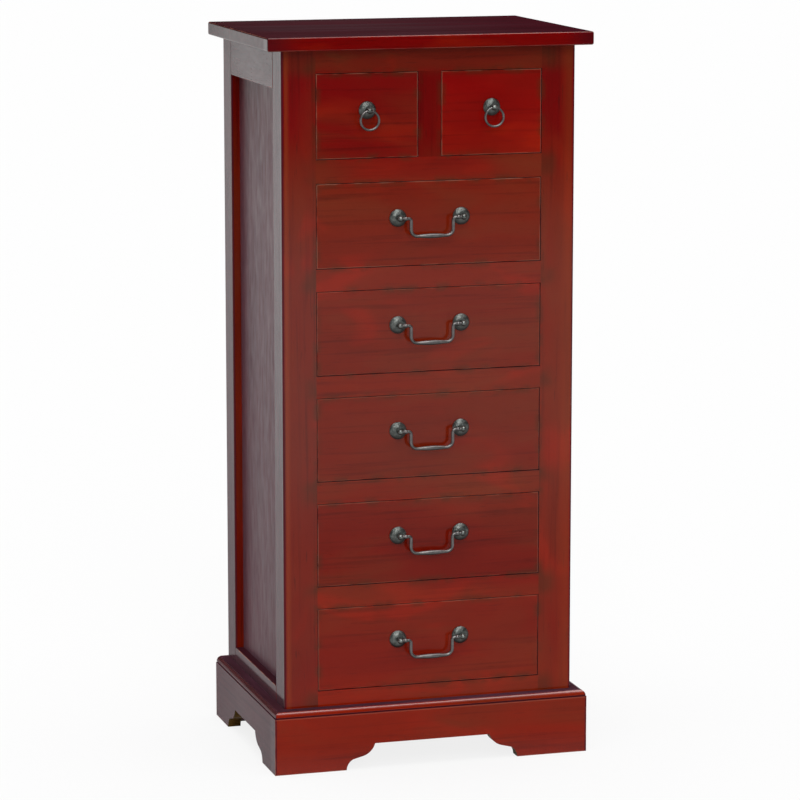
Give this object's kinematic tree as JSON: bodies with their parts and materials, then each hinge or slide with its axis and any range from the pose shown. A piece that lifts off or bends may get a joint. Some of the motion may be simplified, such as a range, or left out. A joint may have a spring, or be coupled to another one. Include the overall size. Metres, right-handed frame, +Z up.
{
  "type": "semainier chest of drawers",
  "caption": "Tall narrow chest of drawers in red mahogany stain, with small ring-pull drawers over wide bail-pull drawers, panelled sides and a scrolled bracket-foot plinth.",
  "frame": {"origin": "middle of the floor under the chest, at the centre of its plan", "axes": "+Z up, +X to the right of someone facing the drawers, +Y to the back; the drawers face -Y"},
  "size_m": [0.5, 0.37, 1.1],
  "materials": {
    "mahogany_stain": "satin lacquer over red mahogany stain",
    "bare_hardwood": "planed, unfinished",
    "drawer_wood": "sanded, unfinished",
    "plywood": "thin sheet, unfinished",
    "dark_pewter": "antique pewter, rubbed on the high spots",
    "zinc_screw": "zinc plated"
  },
  "bodies": {
    "carcass": {"top_board": "mahogany_stain", "front_left_post": "mahogany_stain", "front_right_post": "mahogany_stain", "back_left_post": "mahogany_stain", "back_right_post": "mahogany_stain", "side_top_rails": "mahogany_stain", "side_bottom_rails": "mahogany_stain", "left_side_panel": "mahogany_stain", "right_side_panel": "mahogany_stain", "front_top_rail": "mahogany_stain", "drawer_rails": "mahogany_stain", "front_bottom_rail": "mahogany_stain", "centre_muntin": "mahogany_stain", "back_rails": "bare_hardwood", "back_panel": "plywood", "drawer_runners": "bare_hardwood", "centre_runner": "bare_hardwood", "drawer_stops": "bare_hardwood", "top_kickers": "bare_hardwood", "top_fixing_screws": "zinc_screw", "plinth_front": "mahogany_stain", "plinth_left": "mahogany_stain", "plinth_right": "mahogany_stain"},
    "drawer_1": {"drawer_1_front": "mahogany_stain", "drawer_1_box": "drawer_wood", "drawer_1_bottom": "plywood", "drawer_1_pull_posts": "dark_pewter"},
    "bail_1": {"drawer_1_bail": "dark_pewter"},
    "drawer_2": {"drawer_2_front": "mahogany_stain", "drawer_2_box": "drawer_wood", "drawer_2_bottom": "plywood", "drawer_2_pull_posts": "dark_pewter"},
    "bail_2": {"drawer_2_bail": "dark_pewter"},
    "drawer_3": {"drawer_3_front": "mahogany_stain", "drawer_3_box": "drawer_wood", "drawer_3_bottom": "plywood", "drawer_3_pull_posts": "dark_pewter"},
    "bail_3": {"drawer_3_bail": "dark_pewter"},
    "drawer_4": {"drawer_4_front": "mahogany_stain", "drawer_4_box": "drawer_wood", "drawer_4_bottom": "plywood", "drawer_4_pull_posts": "dark_pewter"},
    "bail_4": {"drawer_4_bail": "dark_pewter"},
    "drawer_5": {"drawer_5_front": "mahogany_stain", "drawer_5_box": "drawer_wood", "drawer_5_bottom": "plywood", "drawer_5_pull_posts": "dark_pewter"},
    "bail_5": {"drawer_5_bail": "dark_pewter"},
    "small_drawer_left": {"small_drawer_left_front": "mahogany_stain", "small_drawer_left_box": "drawer_wood", "small_drawer_left_bottom": "plywood", "small_drawer_left_pull_post": "dark_pewter"},
    "ring_left": {"small_drawer_left_ring": "dark_pewter"},
    "small_drawer_right": {"small_drawer_right_front": "mahogany_stain", "small_drawer_right_box": "drawer_wood", "small_drawer_right_bottom": "plywood", "small_drawer_right_pull_post": "dark_pewter"},
    "ring_right": {"small_drawer_right_ring": "dark_pewter"}
  },
  "joints": [
    {"name": "drawer_1_slide", "type": "slide", "parent": "carcass", "child": "drawer_1", "axis": [0, -1, 0], "range_m": [0, 0.22]},
    {"name": "bail_1_swing", "type": "hinge", "parent": "drawer_1", "child": "bail_1", "pos_m": [0, -0.179, 0.83025], "axis": [-1, 0, 0], "range_deg": [-21, 201]},
    {"name": "drawer_2_slide", "type": "slide", "parent": "carcass", "child": "drawer_2", "axis": [0, -1, 0], "range_m": [0, 0.22]},
    {"name": "bail_2_swing", "type": "hinge", "parent": "drawer_2", "child": "bail_2", "pos_m": [0, -0.179, 0.67075], "axis": [-1, 0, 0], "range_deg": [-21, 201]},
    {"name": "drawer_3_slide", "type": "slide", "parent": "carcass", "child": "drawer_3", "axis": [0, -1, 0], "range_m": [0, 0.22]},
    {"name": "bail_3_swing", "type": "hinge", "parent": "drawer_3", "child": "bail_3", "pos_m": [0, -0.179, 0.51125], "axis": [-1, 0, 0], "range_deg": [-21, 201]},
    {"name": "drawer_4_slide", "type": "slide", "parent": "carcass", "child": "drawer_4", "axis": [0, -1, 0], "range_m": [0, 0.22]},
    {"name": "bail_4_swing", "type": "hinge", "parent": "drawer_4", "child": "bail_4", "pos_m": [0, -0.179, 0.35175], "axis": [-1, 0, 0], "range_deg": [-21, 201]},
    {"name": "drawer_5_slide", "type": "slide", "parent": "carcass", "child": "drawer_5", "axis": [0, -1, 0], "range_m": [0, 0.22]},
    {"name": "bail_5_swing", "type": "hinge", "parent": "drawer_5", "child": "bail_5", "pos_m": [0, -0.179, 0.19225], "axis": [-1, 0, 0], "range_deg": [-21, 201]},
    {"name": "small_drawer_left_slide", "type": "slide", "parent": "carcass", "child": "small_drawer_left", "axis": [0, -1, 0], "range_m": [0, 0.22]},
    {"name": "ring_left_swing", "type": "hinge", "parent": "small_drawer_left", "child": "ring_left", "pos_m": [-0.09575, -0.179, 0.99075], "axis": [-1, 0, 0], "range_deg": [-24, 204]},
    {"name": "small_drawer_right_slide", "type": "slide", "parent": "carcass", "child": "small_drawer_right", "axis": [0, -1, 0], "range_m": [0, 0.22]},
    {"name": "ring_right_swing", "type": "hinge", "parent": "small_drawer_right", "child": "ring_right", "pos_m": [0.09575, -0.179, 0.99075], "axis": [-1, 0, 0], "range_deg": [-24, 204]}
  ]
}
